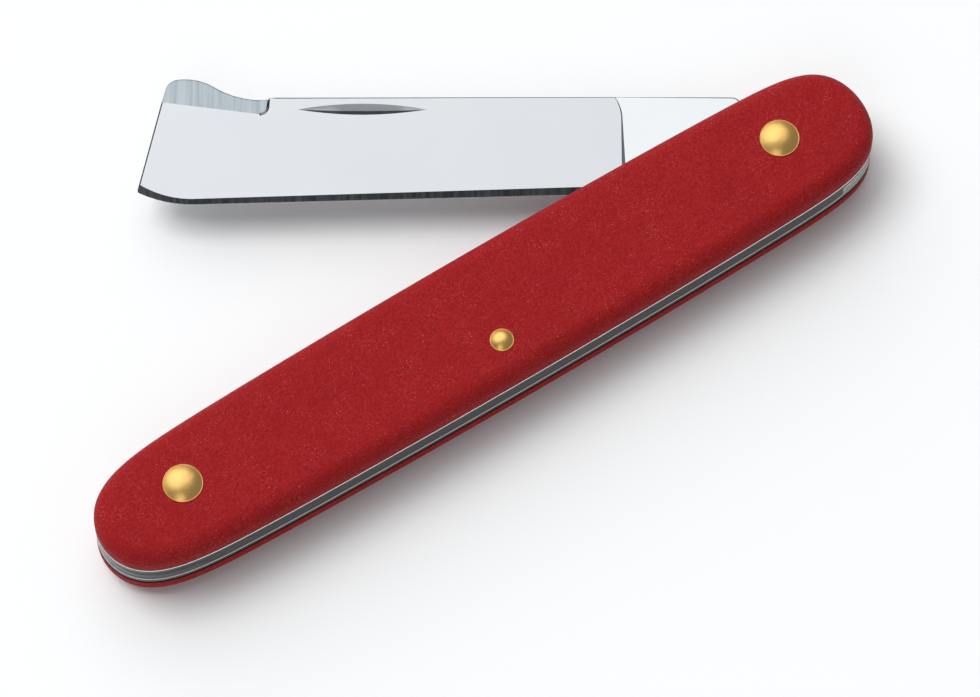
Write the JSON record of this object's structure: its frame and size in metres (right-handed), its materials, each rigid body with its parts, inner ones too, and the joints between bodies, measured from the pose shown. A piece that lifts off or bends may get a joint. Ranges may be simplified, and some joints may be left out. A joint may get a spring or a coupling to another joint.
{
  "type": "grafting knife",
  "caption": "Folding grafting knife with a squared blade, a bark lifter on its back, textured red handle scales and domed brass rivets.",
  "frame": {"origin": "on the rear scale's flat outer face, at the middle of the handle's length and width", "axes": "+X along the handle towards the pivot end, +Y across the handle towards the open side of the slot, +Z from the rear scale towards the front scale"},
  "size_m": [0.1, 0.0528, 0.0119],
  "materials": {
    "scale": "fine sandblast texture",
    "liner": "satin sheet with bright cut edges",
    "spring_steel": "polished spring steel",
    "blade_steel": "fine polished stainless steel",
    "brass": "polished domes"
  },
  "bodies": {
    "handle": {"front_scale": "scale", "rear_scale": "scale", "front_liner": "liner", "rear_liner": "liner", "pivot_pin": "brass", "middle_pin": "brass", "end_pin": "brass", "pivot_cap_front": "brass", "pivot_cap_rear": "brass", "middle_cap_front": "brass", "middle_cap_rear": "brass", "end_cap_front": "brass", "end_cap_rear": "brass"},
    "blade": {"blade": "blade_steel"},
    "spring": {"back_spring": "spring_steel"}
  },
  "joints": [
    {"name": "blade_pivot", "type": "hinge", "parent": "handle", "child": "blade", "pos_m": [0.0392, 0.00055, 0.00515], "axis": [0, 0, -1], "range_deg": [-27.5, 148]},
    {"name": "spring_flex", "type": "hinge", "parent": "handle", "child": "spring", "pos_m": [-0.0003, -0.00365, 0.00515], "axis": [0, 0, 1], "range_deg": [0, 0.86], "stiffness_Nm_per_rad": 0.02, "deforming": ["back_spring"]}
  ]
}
